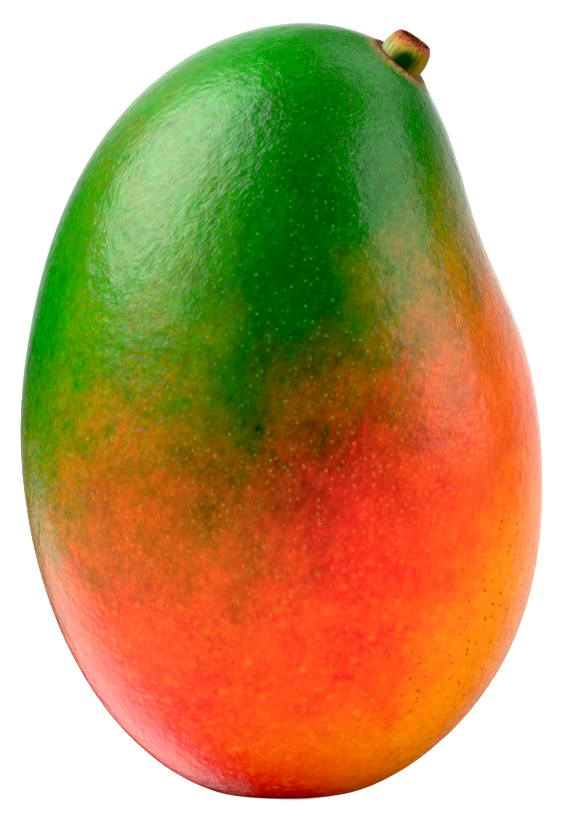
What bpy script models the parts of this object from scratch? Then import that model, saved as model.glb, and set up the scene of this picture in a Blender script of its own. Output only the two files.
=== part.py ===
"""A mango picked with a short stub of its stem, standing on its blossom end.

Metres, +Z up. The origin is the middle of the small flat spot that the fruit stands on. The stem
leans towards +X, above the shallow fold in the peel, and the two broad cheeks face -Y and +Y.
"""

import math

import bmesh
import bpy
import numpy as np
from mathutils import Vector

# The fruit, drawn from the front: (across, up) where its edge runs, anticlockwise from +X.
FRONT_EDGE = (
    (0.0423, 0.0600),
    (0.0370, 0.0812),
    (0.0311, 0.0960),
    (0.0269, 0.1092),
    (0.0200, 0.1203),
    (0.0092, 0.1256),
    (-0.0161, 0.1199),
    (-0.0354, 0.0954),
    (-0.0424, 0.0690),
    (-0.0414, 0.0449),
    (-0.0318, 0.0192),
    (-0.0144, 0.0024),
    (0.0018, -0.0009),
    (0.0168, 0.0024),
    (0.0290, 0.0115),
    (0.0411, 0.0362),
)
MIDDLE_HEIGHT = 0.0600  # of the point that the peel is measured from
HALF_THICKNESS = 0.0375  # from the middle to each cheek
CHEEK_FULLNESS = 0.035  # how much fuller than an ellipse the fruit is between edge and cheek
SLOW_WAVES = 3  # of the edge's waves that still show at the cheeks
EDGE_SAMPLES = 720  # round the edge, to find its waves

# Gentle unevenness: (direction that the waves run in, how tightly they follow, height, phase).
SWELLS = (
    ((0.62, 0.55, 0.56), 4.4, 0.00025, 0.7),
    ((-0.48, 0.80, 0.36), 6.2, 0.00018, 2.1),
    ((0.28, -0.35, 0.89), 8.6, 0.00010, 4.0),
)

# The underside, pressed a little flatter than the edge is drawn.
PRESS_DEPTH = 0.0003
PRESS_TOP = 0.0100  # the height at which nothing of it is left

# The fold that runs down the stem's side of the fruit.
FOLD_TOP = 0.1130
FOLD_BOTTOM = 0.0840
FOLD_FADE = 0.0090  # the length over which each end dies away
FOLD_DEPTH = 0.0009
FOLD_HALF_WIDTH = 0.0030
FOLD_OFFSET = -0.0040  # along Y, so the far side of the fold stands out past the near one

# The stem: where its axis meets the peel, and the way it points.
STEM_ACROSS = 0.0195
STEM_DEPTH = -0.0075
STEM_HEIGHT = 0.1198
STEM_LEAN = math.radians(35.0)  # from upright towards +X
STEM_NOD = math.radians(15.0)  # from that line towards -Y
STEM_FOOT_RADIUS = 0.0041
STEM_WAIST_RADIUS = 0.0038
STEM_NECK_RADIUS = 0.0034
STEM_CUT_RADIUS = 0.0029
STEM_RISE = 0.0036  # from the peel to the cut
STEM_WAIST_RISE = 0.0011
STEM_NECK_RISE = 0.0027
STEM_SINK = 0.0021  # from the peel down to the floor of the seat
STEM_GAP = 0.0003  # left all round between the stub and the fruit
STEM_CHAMFER = 0.0003  # round the cut and round the foot

# The corky collar that the peel forms round the stem.
COLLAR_RADIUS = 0.0051
COLLAR_HALF_WIDTH = 0.0009
COLLAR_HEIGHT = 0.0003

# Mesh fineness.
BALL_SUBDIVISIONS = 5
COLLAR_CUTS = 2
COLLAR_REACH = math.radians(8.0)  # of the finer mesh round the stem, seen from the middle
STEM_STEPS = 32
FLAT_SNAP = 0.0003  # points this near to the flat spot's plane are moved onto it
SHARP_ANGLE = math.radians(35.0)  # edges that turn more than this stay crisp

FULL_TURN = 2 * math.pi


def stem_axis():
    """The way the stem points, as a unit vector."""
    level = math.cos(STEM_NOD)
    return Vector((level * math.sin(STEM_LEAN), -math.sin(STEM_NOD), level * math.cos(STEM_LEAN)))


def stem_point(along):
    """The point of the stem's axis that lies a distance beyond the peel."""
    return Vector((STEM_ACROSS, STEM_DEPTH, STEM_HEIGHT)) + along * stem_axis()


def closed_spline(angles, values):
    """The smoothest closed curve through every (angle, value), as a function of the angle."""
    count = len(angles)
    step = np.diff(np.append(angles, angles[0] + FULL_TURN))
    slope = (np.roll(values, -1) - values) / step
    system = np.zeros((count, count))
    for i in range(count):
        system[i, i - 1] = step[i - 1]
        system[i, i] = 2 * (step[i - 1] + step[i])
        system[i, (i + 1) % count] = step[i]
    bend = np.linalg.solve(system, 6 * (slope - np.roll(slope, 1)))

    def value(angle):
        turned = angles[0] + (angle - angles[0]) % FULL_TURN
        i = np.searchsorted(angles, turned, side="right") - 1
        j = (i + 1) % count
        past = turned - angles[i]
        left = step[i] - past
        curve = (bend[i] * left**3 + bend[j] * past**3) / (6 * step[i])
        start = (values[i] / step[i] - bend[i] * step[i] / 6) * left
        end = (values[j] / step[i] - bend[j] * step[i] / 6) * past
        return curve + start + end

    return value


def front_reach():
    """How far the fruit's front edge lies from the middle, as a function of the angle."""
    across, up = np.array(FRONT_EDGE).T
    up = up - MIDDLE_HEIGHT
    angles = np.arctan2(up, across) % FULL_TURN
    order = np.argsort(angles)
    return closed_spline(angles[order], np.hypot(across, up)[order])


def slow_part(reach):
    """The closed curve that is left when only the slowest waves of another are kept."""
    angles = np.arange(EDGE_SAMPLES) * FULL_TURN / EDGE_SAMPLES
    waves = np.fft.rfft(reach(angles)) / EDGE_SAMPLES

    def value(angle):
        total = np.full_like(angle, waves[0].real)
        for k in range(1, SLOW_WAVES + 1):
            total = total + 2 * (waves[k] * np.exp(1j * k * angle)).real
        return total

    return value


def smooth_step(value, start, end):
    """Rises smoothly from 0 at start to 1 at end."""
    t = np.clip((value - start) / (end - start), 0.0, 1.0)
    return t * t * (3 - 2 * t)


def peel_points(directions):
    """The points of the peel that lie in the given directions from the fruit's middle.

    The edge's quicker bends, such as the slope under the stem, die away towards the cheeks.
    """
    x, y, z = directions.T
    flat = np.hypot(x, z)
    angle = np.arctan2(z, x)
    true_edge = front_reach()
    slow_edge = slow_part(true_edge)(angle)
    edge = slow_edge + (true_edge(angle) - slow_edge) * flat**2
    reach = 1 / np.hypot(flat / edge, y / HALF_THICKNESS)
    reach = reach * (1 + CHEEK_FULLNESS * (2 * flat * y) ** 2)
    for way, waves, height, phase in SWELLS:
        reach = reach + height * np.sin(waves * (directions @ np.array(way)) + phase)
    points = directions * reach[:, None] + np.array((0.0, 0.0, MIDDLE_HEIGHT))

    height = points[:, 2]
    height -= PRESS_DEPTH * smooth_step(height, PRESS_TOP, 0.0)
    fold = np.exp(-(((points[:, 1] - FOLD_OFFSET) / FOLD_HALF_WIDTH) ** 2))
    fold = fold * smooth_step(height, FOLD_BOTTOM - FOLD_FADE, FOLD_BOTTOM + FOLD_FADE)
    fold = fold * smooth_step(height, FOLD_TOP + FOLD_FADE / 2, FOLD_TOP - FOLD_FADE / 2)
    fold = fold * (x > 0)

    from_stem = points - np.array(stem_point(0.0))
    along = from_stem @ np.array(stem_axis())
    aside = np.sqrt(np.maximum((from_stem**2).sum(axis=1) - along**2, 0.0))
    collar = np.exp(-(((aside - COLLAR_RADIUS) / COLLAR_HALF_WIDTH) ** 2)) * (z > 0)
    return points + directions * (COLLAR_HEIGHT * collar - FOLD_DEPTH * fold)[:, None]


def finish_mesh(bm, name, colour, roughness):
    """Makes the object that holds a mesh, shaded smooth, with its own material."""
    bmesh.ops.triangulate(bm, faces=[f for f in bm.faces if len(f.verts) > 4])
    bmesh.ops.recalc_face_normals(bm, faces=bm.faces)
    mesh = bpy.data.meshes.new(name)
    bm.to_mesh(mesh)
    bm.free()
    mesh.shade_smooth()
    mesh.set_sharp_from_angle(angle=SHARP_ANGLE)
    material = bpy.data.materials.new(name)
    material.use_nodes = True
    shader = material.node_tree.nodes["Principled BSDF"]
    shader.inputs["Base Color"].default_value = (*colour, 1.0)
    shader.inputs["Roughness"].default_value = roughness
    shader.inputs["Metallic"].default_value = 0.0
    mesh.materials.append(material)
    thing = bpy.data.objects.new(name, mesh)
    bpy.context.scene.collection.objects.link(thing)
    return thing


def turned_solid(profile, foot, axis, steps):
    """A mesh turned round an axis from (radius, distance along it) pairs, closed at both ends."""
    bm = bmesh.new()
    turn = Vector((0.0, 0.0, 1.0)).rotation_difference(axis)
    verts = [bm.verts.new(foot + turn @ Vector((r, 0.0, h))) for r, h in profile]
    edges = [bm.edges.new(pair) for pair in zip(verts, verts[1:])]
    bmesh.ops.spin(
        bm, geom=verts + edges, cent=foot, axis=axis, steps=steps, angle=FULL_TURN, use_merge=True
    )
    rims = [e for e in bm.edges if e.is_boundary]
    bmesh.ops.holes_fill(bm, edges=rims, sides=0)
    return bm


def make_fruit():
    """The whole fruit: peel and flesh are one body, grown as one."""
    bm = bmesh.new()
    bmesh.ops.create_icosphere(bm, subdivisions=BALL_SUBDIVISIONS, radius=1.0)
    to_stem = (stem_point(0.0) - Vector((0.0, 0.0, MIDDLE_HEIGHT))).normalized()
    near = [
        e for e in bm.edges
        if (e.verts[0].co + e.verts[1].co).angle(to_stem) < COLLAR_REACH
    ]
    bmesh.ops.subdivide_edges(bm, edges=near, cuts=COLLAR_CUTS, use_grid_fill=True)
    bmesh.ops.triangulate(bm, faces=bm.faces)
    directions = np.array([v.co.normalized() for v in bm.verts])
    for vert, point in zip(bm.verts, peel_points(directions)):
        vert.co = point

    geometry = bm.verts[:] + bm.edges[:] + bm.faces[:]
    cut = bmesh.ops.bisect_plane(
        bm, geom=geometry, dist=FLAT_SNAP, plane_co=(0, 0, 0), plane_no=(0, 0, 1),
        use_snap_center=True, clear_inner=True,
    )
    rim = [e for e in cut["geom_cut"] if isinstance(e, bmesh.types.BMEdge)]
    bmesh.ops.holes_fill(bm, edges=rim, sides=0)
    return finish_mesh(bm, "fruit", (0.70, 0.16, 0.02), 0.34)


def make_seat_cutter():
    """The round seat in the top of the fruit that the foot of the stem sits in."""
    radius = STEM_FOOT_RADIUS + STEM_GAP
    profile = ((radius, 0.0), (radius, STEM_SINK + STEM_RISE))
    bm = turned_solid(profile, stem_point(-STEM_SINK), stem_axis(), STEM_STEPS)
    cutter = finish_mesh(bm, "seat_cutter", (0.5, 0.5, 0.5), 0.5)
    cutter.hide_render = True
    cutter.display_type = "WIRE"
    return cutter


def make_stem_stub():
    """The stub of the stem, thickest at its foot and cut off square a few millimetres up."""
    foot_height = STEM_GAP
    cut_height = STEM_SINK + STEM_RISE
    profile = (
        (STEM_FOOT_RADIUS - STEM_CHAMFER, foot_height),
        (STEM_FOOT_RADIUS, foot_height + STEM_CHAMFER),
        (STEM_FOOT_RADIUS, STEM_SINK),
        (STEM_WAIST_RADIUS, STEM_SINK + STEM_WAIST_RISE),
        (STEM_NECK_RADIUS, STEM_SINK + STEM_NECK_RISE),
        (STEM_CUT_RADIUS, cut_height - STEM_CHAMFER),
        (STEM_CUT_RADIUS - STEM_CHAMFER, cut_height),
    )
    bm = turned_solid(profile, stem_point(-STEM_SINK), stem_axis(), STEM_STEPS)
    return finish_mesh(bm, "stem_stub", (0.42, 0.27, 0.03), 0.50)


def main():
    for thing in list(bpy.data.objects):
        bpy.data.objects.remove(thing, do_unlink=True)
    fruit = make_fruit()
    seat = fruit.modifiers.new("stem_seat", "BOOLEAN")
    seat.operation = "DIFFERENCE"
    seat.solver = "EXACT"
    seat.object = make_seat_cutter()
    make_stem_stub()


main()
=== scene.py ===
# %% [markdown]
# # A ripe mango on its blossom end
#
# A mango is one grown body with a leathery, waxy peel, and a short stub of stem where it was
# picked. This lesson loads the plain solid that holds the fruit's real size. It then builds the
# peel and the stub again as fine meshes, with procedural finishes: finishes that are worked out by
# sums, and not painted.
#
# Across is +X, the side that the stem leans to. Up is +Z. The camera looks along +Y, so the front
# is -Y. Lengths are in metres, and in millimetres where a name ends in MM and in all finishes.

# %% Load the fixed frame
import math

import bmesh
import bpy
import numpy as np
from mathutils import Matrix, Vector, noise


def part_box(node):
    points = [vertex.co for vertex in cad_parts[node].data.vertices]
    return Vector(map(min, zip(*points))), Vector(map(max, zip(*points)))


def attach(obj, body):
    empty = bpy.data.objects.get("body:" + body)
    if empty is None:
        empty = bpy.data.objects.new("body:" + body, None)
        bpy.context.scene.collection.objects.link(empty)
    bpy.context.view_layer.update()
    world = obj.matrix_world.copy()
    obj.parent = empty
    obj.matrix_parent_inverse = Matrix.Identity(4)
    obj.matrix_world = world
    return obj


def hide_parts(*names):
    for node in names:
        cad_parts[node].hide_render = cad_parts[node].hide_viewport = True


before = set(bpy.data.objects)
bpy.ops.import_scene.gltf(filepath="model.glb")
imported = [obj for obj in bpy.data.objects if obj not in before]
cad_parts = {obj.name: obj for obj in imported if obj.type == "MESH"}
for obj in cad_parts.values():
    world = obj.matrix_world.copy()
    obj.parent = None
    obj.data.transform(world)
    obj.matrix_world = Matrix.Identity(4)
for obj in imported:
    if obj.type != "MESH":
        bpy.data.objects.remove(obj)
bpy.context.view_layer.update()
FRUIT_LOW, FRUIT_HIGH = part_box("fruit")
STUB_LOW, STUB_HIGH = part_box("stem_stub")


def in_mm(lengths):
    """Lengths in metres as rounded millimetres, for printing."""
    return [round(1000 * float(length), 1) for length in lengths]


print("nodes in the frame:", len(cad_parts))
print("fruit in mm:", in_mm(FRUIT_HIGH - FRUIT_LOW), "stub in mm:", in_mm(STUB_HIGH - STUB_LOW))

# %% [markdown]
# ## The drawing of the fruit
#
# Seen from the front, a mango is an oval that is fuller below and slopes away under the stem. A
# ball could be pushed into that shape by eye, but it would never quite fit the solid. A few points
# round the edge describe the shape better, and they are the same points that the solid was drawn
# from.

# %% Points round the edge
FRONT_EDGE = (  # across and up
    (0.0423, 0.0600),
    (0.0370, 0.0812),
    (0.0311, 0.0960),
    (0.0269, 0.1092),
    (0.0200, 0.1203),
    (0.0092, 0.1256),
    (-0.0161, 0.1199),
    (-0.0354, 0.0954),
    (-0.0424, 0.0690),
    (-0.0414, 0.0449),
    (-0.0318, 0.0192),
    (-0.0144, 0.0024),
    (0.0018, -0.0009),
    (0.0168, 0.0024),
    (0.0290, 0.0115),
    (0.0411, 0.0362),
)
MIDDLE = np.array((0.0, 0.0, 0.0600))
print("points round the edge:", len(FRONT_EDGE))

# %% [markdown]
# ## The smoothest closed curve
#
# Straight lines between the points would show as flats, and arcs would show as rings where they
# meet. A closed spline has neither. It comes from one small system of equations: at each point,
# the curve on both sides must have the same slope and the same bend. Because the bend never jumps,
# no kink shows in the gloss.

# %% A closed spline
FULL_TURN = 2 * math.pi


def closed_spline(angles, values):
    """The smoothest closed curve through every (angle, value), as a function of the angle."""
    count = len(angles)
    step = np.diff(np.append(angles, angles[0] + FULL_TURN))
    slope = (np.roll(values, -1) - values) / step
    system = np.zeros((count, count))
    for i in range(count):
        system[i, i - 1] = step[i - 1]
        system[i, i] = 2 * (step[i - 1] + step[i])
        system[i, (i + 1) % count] = step[i]
    bend = np.linalg.solve(system, 6 * (slope - np.roll(slope, 1)))

    def value(angle):
        turned = angles[0] + (angle - angles[0]) % FULL_TURN
        i = np.searchsorted(angles, turned, side="right") - 1
        j = (i + 1) % count
        past = turned - angles[i]
        left = step[i] - past
        curve = (bend[i] * left**3 + bend[j] * past**3) / (6 * step[i])
        start = (values[i] / step[i] - bend[i] * step[i] / 6) * left
        end = (values[j] / step[i] - bend[j] * step[i] / 6) * past
        return curve + start + end

    return value


hours = np.arange(12) * FULL_TURN / 12
wave = closed_spline(hours, np.cos(hours))
print("a cosine through 12 points, at 1.0:", round(float(wave(np.array(1.0))), 4),
      "and the true one:", round(math.cos(1.0), 4))


# %% [markdown]
# ## The edge, seen from the middle
#
# The points are given across and up, as on squared paper. Seen from the middle, each is a
# direction and a distance. In that form the spline needs only one value for each angle, and it
# can't cross itself.

# %% The edge as a distance for each angle
def edge_reach():
    """How far the front edge lies from the middle, as a function of the angle."""
    across, up = np.array(FRONT_EDGE).T
    up = up - MIDDLE[2]
    angles = np.arctan2(up, across) % FULL_TURN
    order = np.argsort(angles)
    return closed_spline(angles[order], np.hypot(across, up)[order])


EDGE = edge_reach()
quarters = np.radians((0.0, 90.0, 180.0, 270.0))
print("reach in mm to the right, up, left and down:", in_mm(EDGE(quarters)))

# %% [markdown]
# ## From a direction to a point of the peel
#
# The whole peel can be seen from the fruit's middle, so one number for each direction is enough:
# how far away the peel is. Between the front edge and the two cheeks it follows an ellipse, a
# little fuller than a true one.
#
# The hollow under the stem belongs to the edge only. Further in, an edge that has been smoothed to
# its slowest waves takes over. The waves come from a Fourier transform, which splits any closed
# curve into waves that fit round it once, twice, three times and so on.

# %% The edge without its hollow
SLOW_WAVES = 3


def slow_part(reach, waves, samples=720):
    """The closed curve left when only its slowest waves are kept."""
    spectrum = np.fft.rfft(reach(np.arange(samples) * FULL_TURN / samples)) / samples

    def value(angle):
        total = np.full_like(angle, spectrum[0].real)
        for k in range(1, waves + 1):
            total = total + 2 * (spectrum[k] * np.exp(1j * k * angle)).real
        return total

    return value


SLOW_EDGE = slow_part(EDGE, SLOW_WAVES)
under_stem = np.radians((52.0,))
print("the hollow is this deep, in mm:", in_mm(SLOW_EDGE(under_stem) - EDGE(under_stem)))

# %% [markdown]
# ## The plain body
#
# A fruit isn't a perfect figure. Three very low swells, a quarter of a millimetre high at most,
# run across it at odd angles. They can't be seen as shapes, but they keep a highlight from looking
# as if it lay on glass. A noise would do as well, but three waves are easier to keep low and
# broad.

# %% How far away the peel is
HALF_THICKNESS = 0.0375
CHEEK_FULLNESS = 0.035
SWELLS = (  # way across the fruit, waves, height and start of each swell
    ((0.62, 0.55, 0.56), 4.4, 0.00025, 0.7),
    ((-0.48, 0.80, 0.36), 6.2, 0.00018, 2.1),
    ((0.28, -0.35, 0.89), 8.6, 0.00010, 4.0),
)


def body_reach(directions):
    """How far the peel lies from the middle in each direction, before the marks of growth."""
    x, y, z = directions.T
    flat = np.hypot(x, z)
    angle = np.arctan2(z, x)
    slow = SLOW_EDGE(angle)
    edge = slow + (EDGE(angle) - slow) * flat**2
    reach = 1 / np.hypot(flat / edge, y / HALF_THICKNESS)
    reach = reach * (1 + CHEEK_FULLNESS * (2 * flat * y) ** 2)
    for way, waves, height, start in SWELLS:
        reach = reach + height * np.sin(waves * (directions @ np.array(way)) + start)
    return reach


ahead_and_behind = np.array(((0.0, -1.0, 0.0), (0.0, 1.0, 0.0)))
print("reach in mm to the front and the back:", in_mm(body_reach(ahead_and_behind)))

# %% [markdown]
# ## Where the stem stands
#
# The stem comes out of the right shoulder, leans to the right and nods a little to the front. The
# peel, its cork and the stub all need its place, so it is said once: a base and an axis.

# %% The stem's base and axis
STEM_BASE = np.array((0.0195, -0.0075, 0.1198))
STEM_LEAN, STEM_NOD = math.radians(35.0), math.radians(15.0)
STEM_AXIS = np.array((
    math.cos(STEM_NOD) * math.sin(STEM_LEAN),
    -math.sin(STEM_NOD),
    math.cos(STEM_NOD) * math.cos(STEM_LEAN),
))


def aside_of_stem(points):
    """How far each point lies aside of the stem's axis."""
    offset = points - STEM_BASE
    along = offset @ STEM_AXIS
    return np.sqrt(np.maximum((offset**2).sum(axis=1) - along**2, 0.0))


print("the stem's axis:", np.round(STEM_AXIS, 3))

# %% [markdown]
# ## The marks of growth
#
# A shallow fold runs down from the stem, where the peel grew round it. A low collar of cork lies
# round the stem's foot. Underneath, the fruit's own weight has pressed it a little flatter. Each
# is a small push on the body, and each fades out smoothly, so that no mark has an edge. A
# sculpting brush could make them too, but a formula can be the same for the solid and for this
# fine mesh, so that the two agree.

# %% The peel as a function of direction
PRESS_DEPTH, PRESS_TOP = 0.0003, 0.0100
FOLD_TOP, FOLD_BOTTOM, FOLD_FADE = 0.1130, 0.0840, 0.0090
FOLD_DEPTH, FOLD_HALF_WIDTH, FOLD_OFFSET = 0.0009, 0.0030, -0.0040
COLLAR_RADIUS, COLLAR_HALF_WIDTH, COLLAR_HEIGHT = 0.0051, 0.0009, 0.0003


def smooth_step(value, start, end):
    """Rises smoothly from 0 at start to 1 at end."""
    t = np.clip((value - start) / (end - start), 0.0, 1.0)
    return t * t * (3 - 2 * t)


def fold_amount(points):
    """1 in the middle of the fold below the stem, and 0 away from it."""
    x, y, up = points.T
    across = np.exp(-(((y - FOLD_OFFSET) / FOLD_HALF_WIDTH) ** 2)) * (x > 0)
    above = smooth_step(up, FOLD_BOTTOM - FOLD_FADE, FOLD_BOTTOM + FOLD_FADE)
    below = smooth_step(up, FOLD_TOP + FOLD_FADE / 2, FOLD_TOP - FOLD_FADE / 2)
    return across * above * below


def collar_amount(points):
    """1 on the crest of the collar round the stem, and 0 away from it."""
    from_crest = (aside_of_stem(points) - COLLAR_RADIUS) / COLLAR_HALF_WIDTH
    return np.exp(-(from_crest**2)) * (points[:, 2] > MIDDLE[2])


def peel_points(directions):
    """The points of the peel that lie in the given directions from the middle."""
    points = directions * body_reach(directions)[:, None] + MIDDLE
    points[:, 2] -= PRESS_DEPTH * smooth_step(points[:, 2], PRESS_TOP, 0.0)
    push = COLLAR_HEIGHT * collar_amount(points) - FOLD_DEPTH * fold_amount(points)
    return points + directions * push[:, None]


straight_down = np.array(((0.0, 0.0, -1.0),))
print("the point straight below the middle, in mm:", in_mm(peel_points(straight_down)[0]))


# %% [markdown]
# ## A ball of even squares
#
# A UV sphere pinches at its poles and an icosphere has triangles, and both show in a gloss. A cube
# whose faces are cut into squares and blown up to a ball has neither fault. The tangent evens out
# the squares, so that those at a cube's corners aren't smaller than those in the middle of its
# faces.
#
# The squares round the stem are cut finer, because the collar there is under a millimetre wide.

# %% The ball
def square_ball(cuts):
    """A bmesh of a ball of radius 1 that is made of nearly even squares."""
    bm = bmesh.new()
    bmesh.ops.create_cube(bm, size=2.0)
    bmesh.ops.subdivide_edges(bm, edges=bm.edges[:], cuts=cuts, use_grid_fill=True)
    for vert in bm.verts:
        vert.co = Vector([math.tan(c * math.pi / 4) for c in vert.co]).normalized()
    return bm


def cut_finer_near(bm, direction, reach, cuts):
    """Cuts the squares of a ball finer round one direction."""
    near = [f for f in bm.faces if f.calc_center_median().angle(direction) < reach]
    edges = {e for f in near for e in f.edges}
    bmesh.ops.subdivide_edges(bm, edges=list(edges), cuts=cuts, use_grid_fill=True)
    for vert in bm.verts:
        vert.co.normalize()


trial = square_ball(3)
print("a ball with 3 cuts has", len(trial.faces), "squares")
trial.free()

# %% [markdown]
# ## The leather of the peel
#
# Close up, a mango's peel is uneven like fine leather. The broader dimples are real shape, made by
# moving the points by two sizes of noise. A Displace modifier does the same, but moving the points
# here leaves no modifier to apply, and the heights can be measured. The finer ones come later, as
# bumps in the finish, because they would need too many faces.

# %% Dimples
DIMPLE_MM = 0.05
DIMPLES = ((0.6, 200.0), (0.4, 450.0))  # share of the height, and patches of noise in a metre


def dimples(points):
    """The leathery unevenness of the peel, as heights in metres."""
    heights = [sum(share * noise.noise(Vector(p) * often) for share, often in DIMPLES)
               for p in points]
    return np.array(heights) * DIMPLE_MM / 1000


row_of_points = [MIDDLE + np.array((0.0005 * k, 0.0, 0.0)) for k in range(60)]
print("from dimple to crest in mm:", round(1000 * float(np.ptp(dimples(row_of_points))), 3))

# %% [markdown]
# ## The fine peel
#
# Now the ball takes the shape of the peel: every point is moved to where the peel lies in its
# direction. The fruit stands on a small flat spot. Cutting it off would leave a sharp rim, so
# heights near the floor are bent to the floor by a parabola that joins the body without a kink.
# Last, the whole peel is stretched by a hair, so that it fills the same box as the solid.

# %% Build the peel
BALL_CUTS = 115
STEM_FINE_REACH = math.radians(7.5)
STEM_FINE_CUTS = 2
FLAT_BLEND = 0.0012


def rest_flat(height):
    """Heights bent smoothly to the floor, where they are under FLAT_BLEND."""
    bent = np.maximum(height + FLAT_BLEND, 0.0) ** 2 / (4 * FLAT_BLEND)
    return np.where(height < FLAT_BLEND, bent, height)


def fit_to_box(points, low, high):
    """Stretches points so that they fill the box of the solid that they stand for."""
    start, size = points.min(axis=0), np.ptp(points, axis=0)
    return np.array(low) + (points - start) / size * (np.array(high) - np.array(low))


def new_piece(name, bm):
    """An object of its own from a bmesh, shaded smooth."""
    mesh = bpy.data.meshes.new(name)
    bm.to_mesh(mesh)
    bm.free()
    mesh.shade_smooth()
    piece = bpy.data.objects.new(name, mesh)
    bpy.context.scene.collection.objects.link(piece)
    return piece


def build_peel():
    bm = square_ball(BALL_CUTS)
    to_stem = Vector(STEM_BASE - MIDDLE).normalized()
    cut_finer_near(bm, to_stem, STEM_FINE_REACH, STEM_FINE_CUTS)
    directions = np.array([v.co for v in bm.verts])
    points = peel_points(directions)
    points = points + directions * dimples(points)[:, None]
    points[:, 2] = rest_flat(points[:, 2])
    points = fit_to_box(points, FRUIT_LOW, FRUIT_HIGH)
    for vert, point in zip(bm.verts, points):
        vert.co = point
    return new_piece("mango_peel", bm)


peel = build_peel()
print("faces of the peel:", len(peel.data.polygons))

# %% [markdown]
# ## The drawing of the stub
#
# The stub is a stalk that was cut a few millimetres above the fruit. It is thickest near its foot,
# which stays hidden in the peel, and rounds over to the rim of the cut. A cylinder with a bevel
# would come close, but its sides would be straight. So the stub is turned like a chair leg: a
# profile of a few rings, filled with more rings in between, which then run in over the cut.

# %% Rings of the stub
STUB_PROFILE = (  # distance along the axis and radius, from the hidden foot to the rim of the cut
    (-0.0018, 0.00378),
    (-0.0006, 0.00388),
    (0.0004, 0.00390),
    (0.0012, 0.00382),
    (0.0021, 0.00362),
    (0.0027, 0.00342),
    (0.0031, 0.00318),
    (0.0034, 0.00296),
    (0.0035, 0.00278),
)
STUB_SUBRINGS = 6
CUT_RINGS = 22
CUT_DISH, DISH_EDGE, CHIP_EDGE = 0.00028, 0.35, 0.15


def stub_rings():
    """(distance along the axis, radius, how far in over the cut) for every ring of the stub."""
    along, radius = np.array(STUB_PROFILE).T
    knots = np.arange(len(along))
    places = np.linspace(0, len(along) - 1, (len(along) - 1) * STUB_SUBRINGS + 1)
    rows = [(np.interp(p, knots, along), np.interp(p, knots, radius), 0.0) for p in places]
    for k in range(1, CUT_RINGS):
        inward = k / CUT_RINGS
        sunk = CUT_DISH * smooth_step(inward, 0.0, DISH_EDGE)
        chipped = smooth_step(inward, 0.0, CHIP_EDGE)
        rows.append((along[-1] - sunk, radius[-1] * (1 - inward), chipped))
    return rows


print("rings of the stub:", len(stub_rings()))

# %% [markdown]
# ## The stub itself
#
# A turned shape looks turned. The real stub has faint ribs along its length, isn't quite round,
# and its cut is chipped where the fibres tore. The ribs are waves round the ring, which their own
# second wave makes uneven. The rest is noise, looked up by direction so that it closes round the
# ring.

# %% Build the stub
STUB_STEPS = 128
RIB_COUNT, RIB_HEIGHT = 11, 0.00003
STUB_UNEVEN, UNEVEN_ROUND, UNEVEN_ALONG = 0.035, 1.7, 350.0
CUT_CHIP, CHIPS_PER_METRE = 0.00030, 1900.0


def stem_sides():
    """Two directions across the stem, square to its axis and to each other."""
    side = np.cross(STEM_AXIS, (0.0, 1.0, 0.0))
    side = side / np.linalg.norm(side)
    return side, np.cross(STEM_AXIS, side)


SIDE, FRONTWARD = stem_sides()


def stub_point(turn, distance, radius, chipped):
    """The point of the stub at a turn round a ring."""
    way = math.cos(turn) * SIDE + math.sin(turn) * FRONTWARD
    rib = RIB_HEIGHT * math.sin(RIB_COUNT * turn + 2 * math.sin(3 * turn)) * (1 - chipped)
    spot = Vector(way * UNEVEN_ROUND) + Vector((0, 0, distance * UNEVEN_ALONG))
    uneven = STUB_UNEVEN * noise.noise(spot)
    chip = CUT_CHIP * chipped * noise.noise(Vector(way * radius * CHIPS_PER_METRE))
    return STEM_BASE + way * (radius * (1 + uneven) + rib) + STEM_AXIS * (distance + chip)


def build_stub():
    bm = bmesh.new()
    turns = [FULL_TURN * step / STUB_STEPS for step in range(STUB_STEPS)]
    rings = [[bm.verts.new(stub_point(turn, *row)) for turn in turns] for row in stub_rings()]
    for lower, upper in zip(rings, rings[1:]):
        for i in range(STUB_STEPS):
            j = (i + 1) % STUB_STEPS
            bm.faces.new((lower[i], lower[j], upper[j], upper[i]))
    bm.faces.new(rings[-1])
    bm.faces.new(rings[0][::-1])
    bmesh.ops.recalc_face_normals(bm, faces=bm.faces)
    return new_piece("mango_stem_stub", bm)


stub = build_stub()
print("faces of the stub:", len(stub.data.polygons))

# %% [markdown]
# ## Shader sums as plain sums
#
# A finish is a web of nodes, and nodes made one by one are hard to read. So one small class wraps
# a socket and lets a sum be written as a sum: `1 - mask` adds a Math node by itself. The reflected
# forms, such as `__rsub__`, are what Python calls when the number comes first.

# %% A socket that can be summed
class Wire:
    """A socket of a shader that sums can be written on."""

    def __init__(self, box, socket):
        self.box, self.socket = box, socket

    def other(self, output):
        """Another output of the node that this wire comes from."""
        return Wire(self.box, self.socket.node.outputs[output])

    def _sum(self, operation, first, second):
        return self.box.node("ShaderNodeMath", {"operation": operation}, {0: first, 1: second})

    def __add__(self, other):
        return self._sum("ADD", self, other)

    def __radd__(self, other):
        return self._sum("ADD", other, self)

    def __sub__(self, other):
        return self._sum("SUBTRACT", self, other)

    def __rsub__(self, other):
        return self._sum("SUBTRACT", other, self)

    def __mul__(self, other):
        return self._sum("MULTIPLY", self, other)

    def __rmul__(self, other):
        return self._sum("MULTIPLY", other, self)

    def __truediv__(self, other):
        return self._sum("DIVIDE", self, other)

    def __rtruediv__(self, other):
        return self._sum("DIVIDE", other, self)


print("sums that a wire knows: + - * /")

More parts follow.
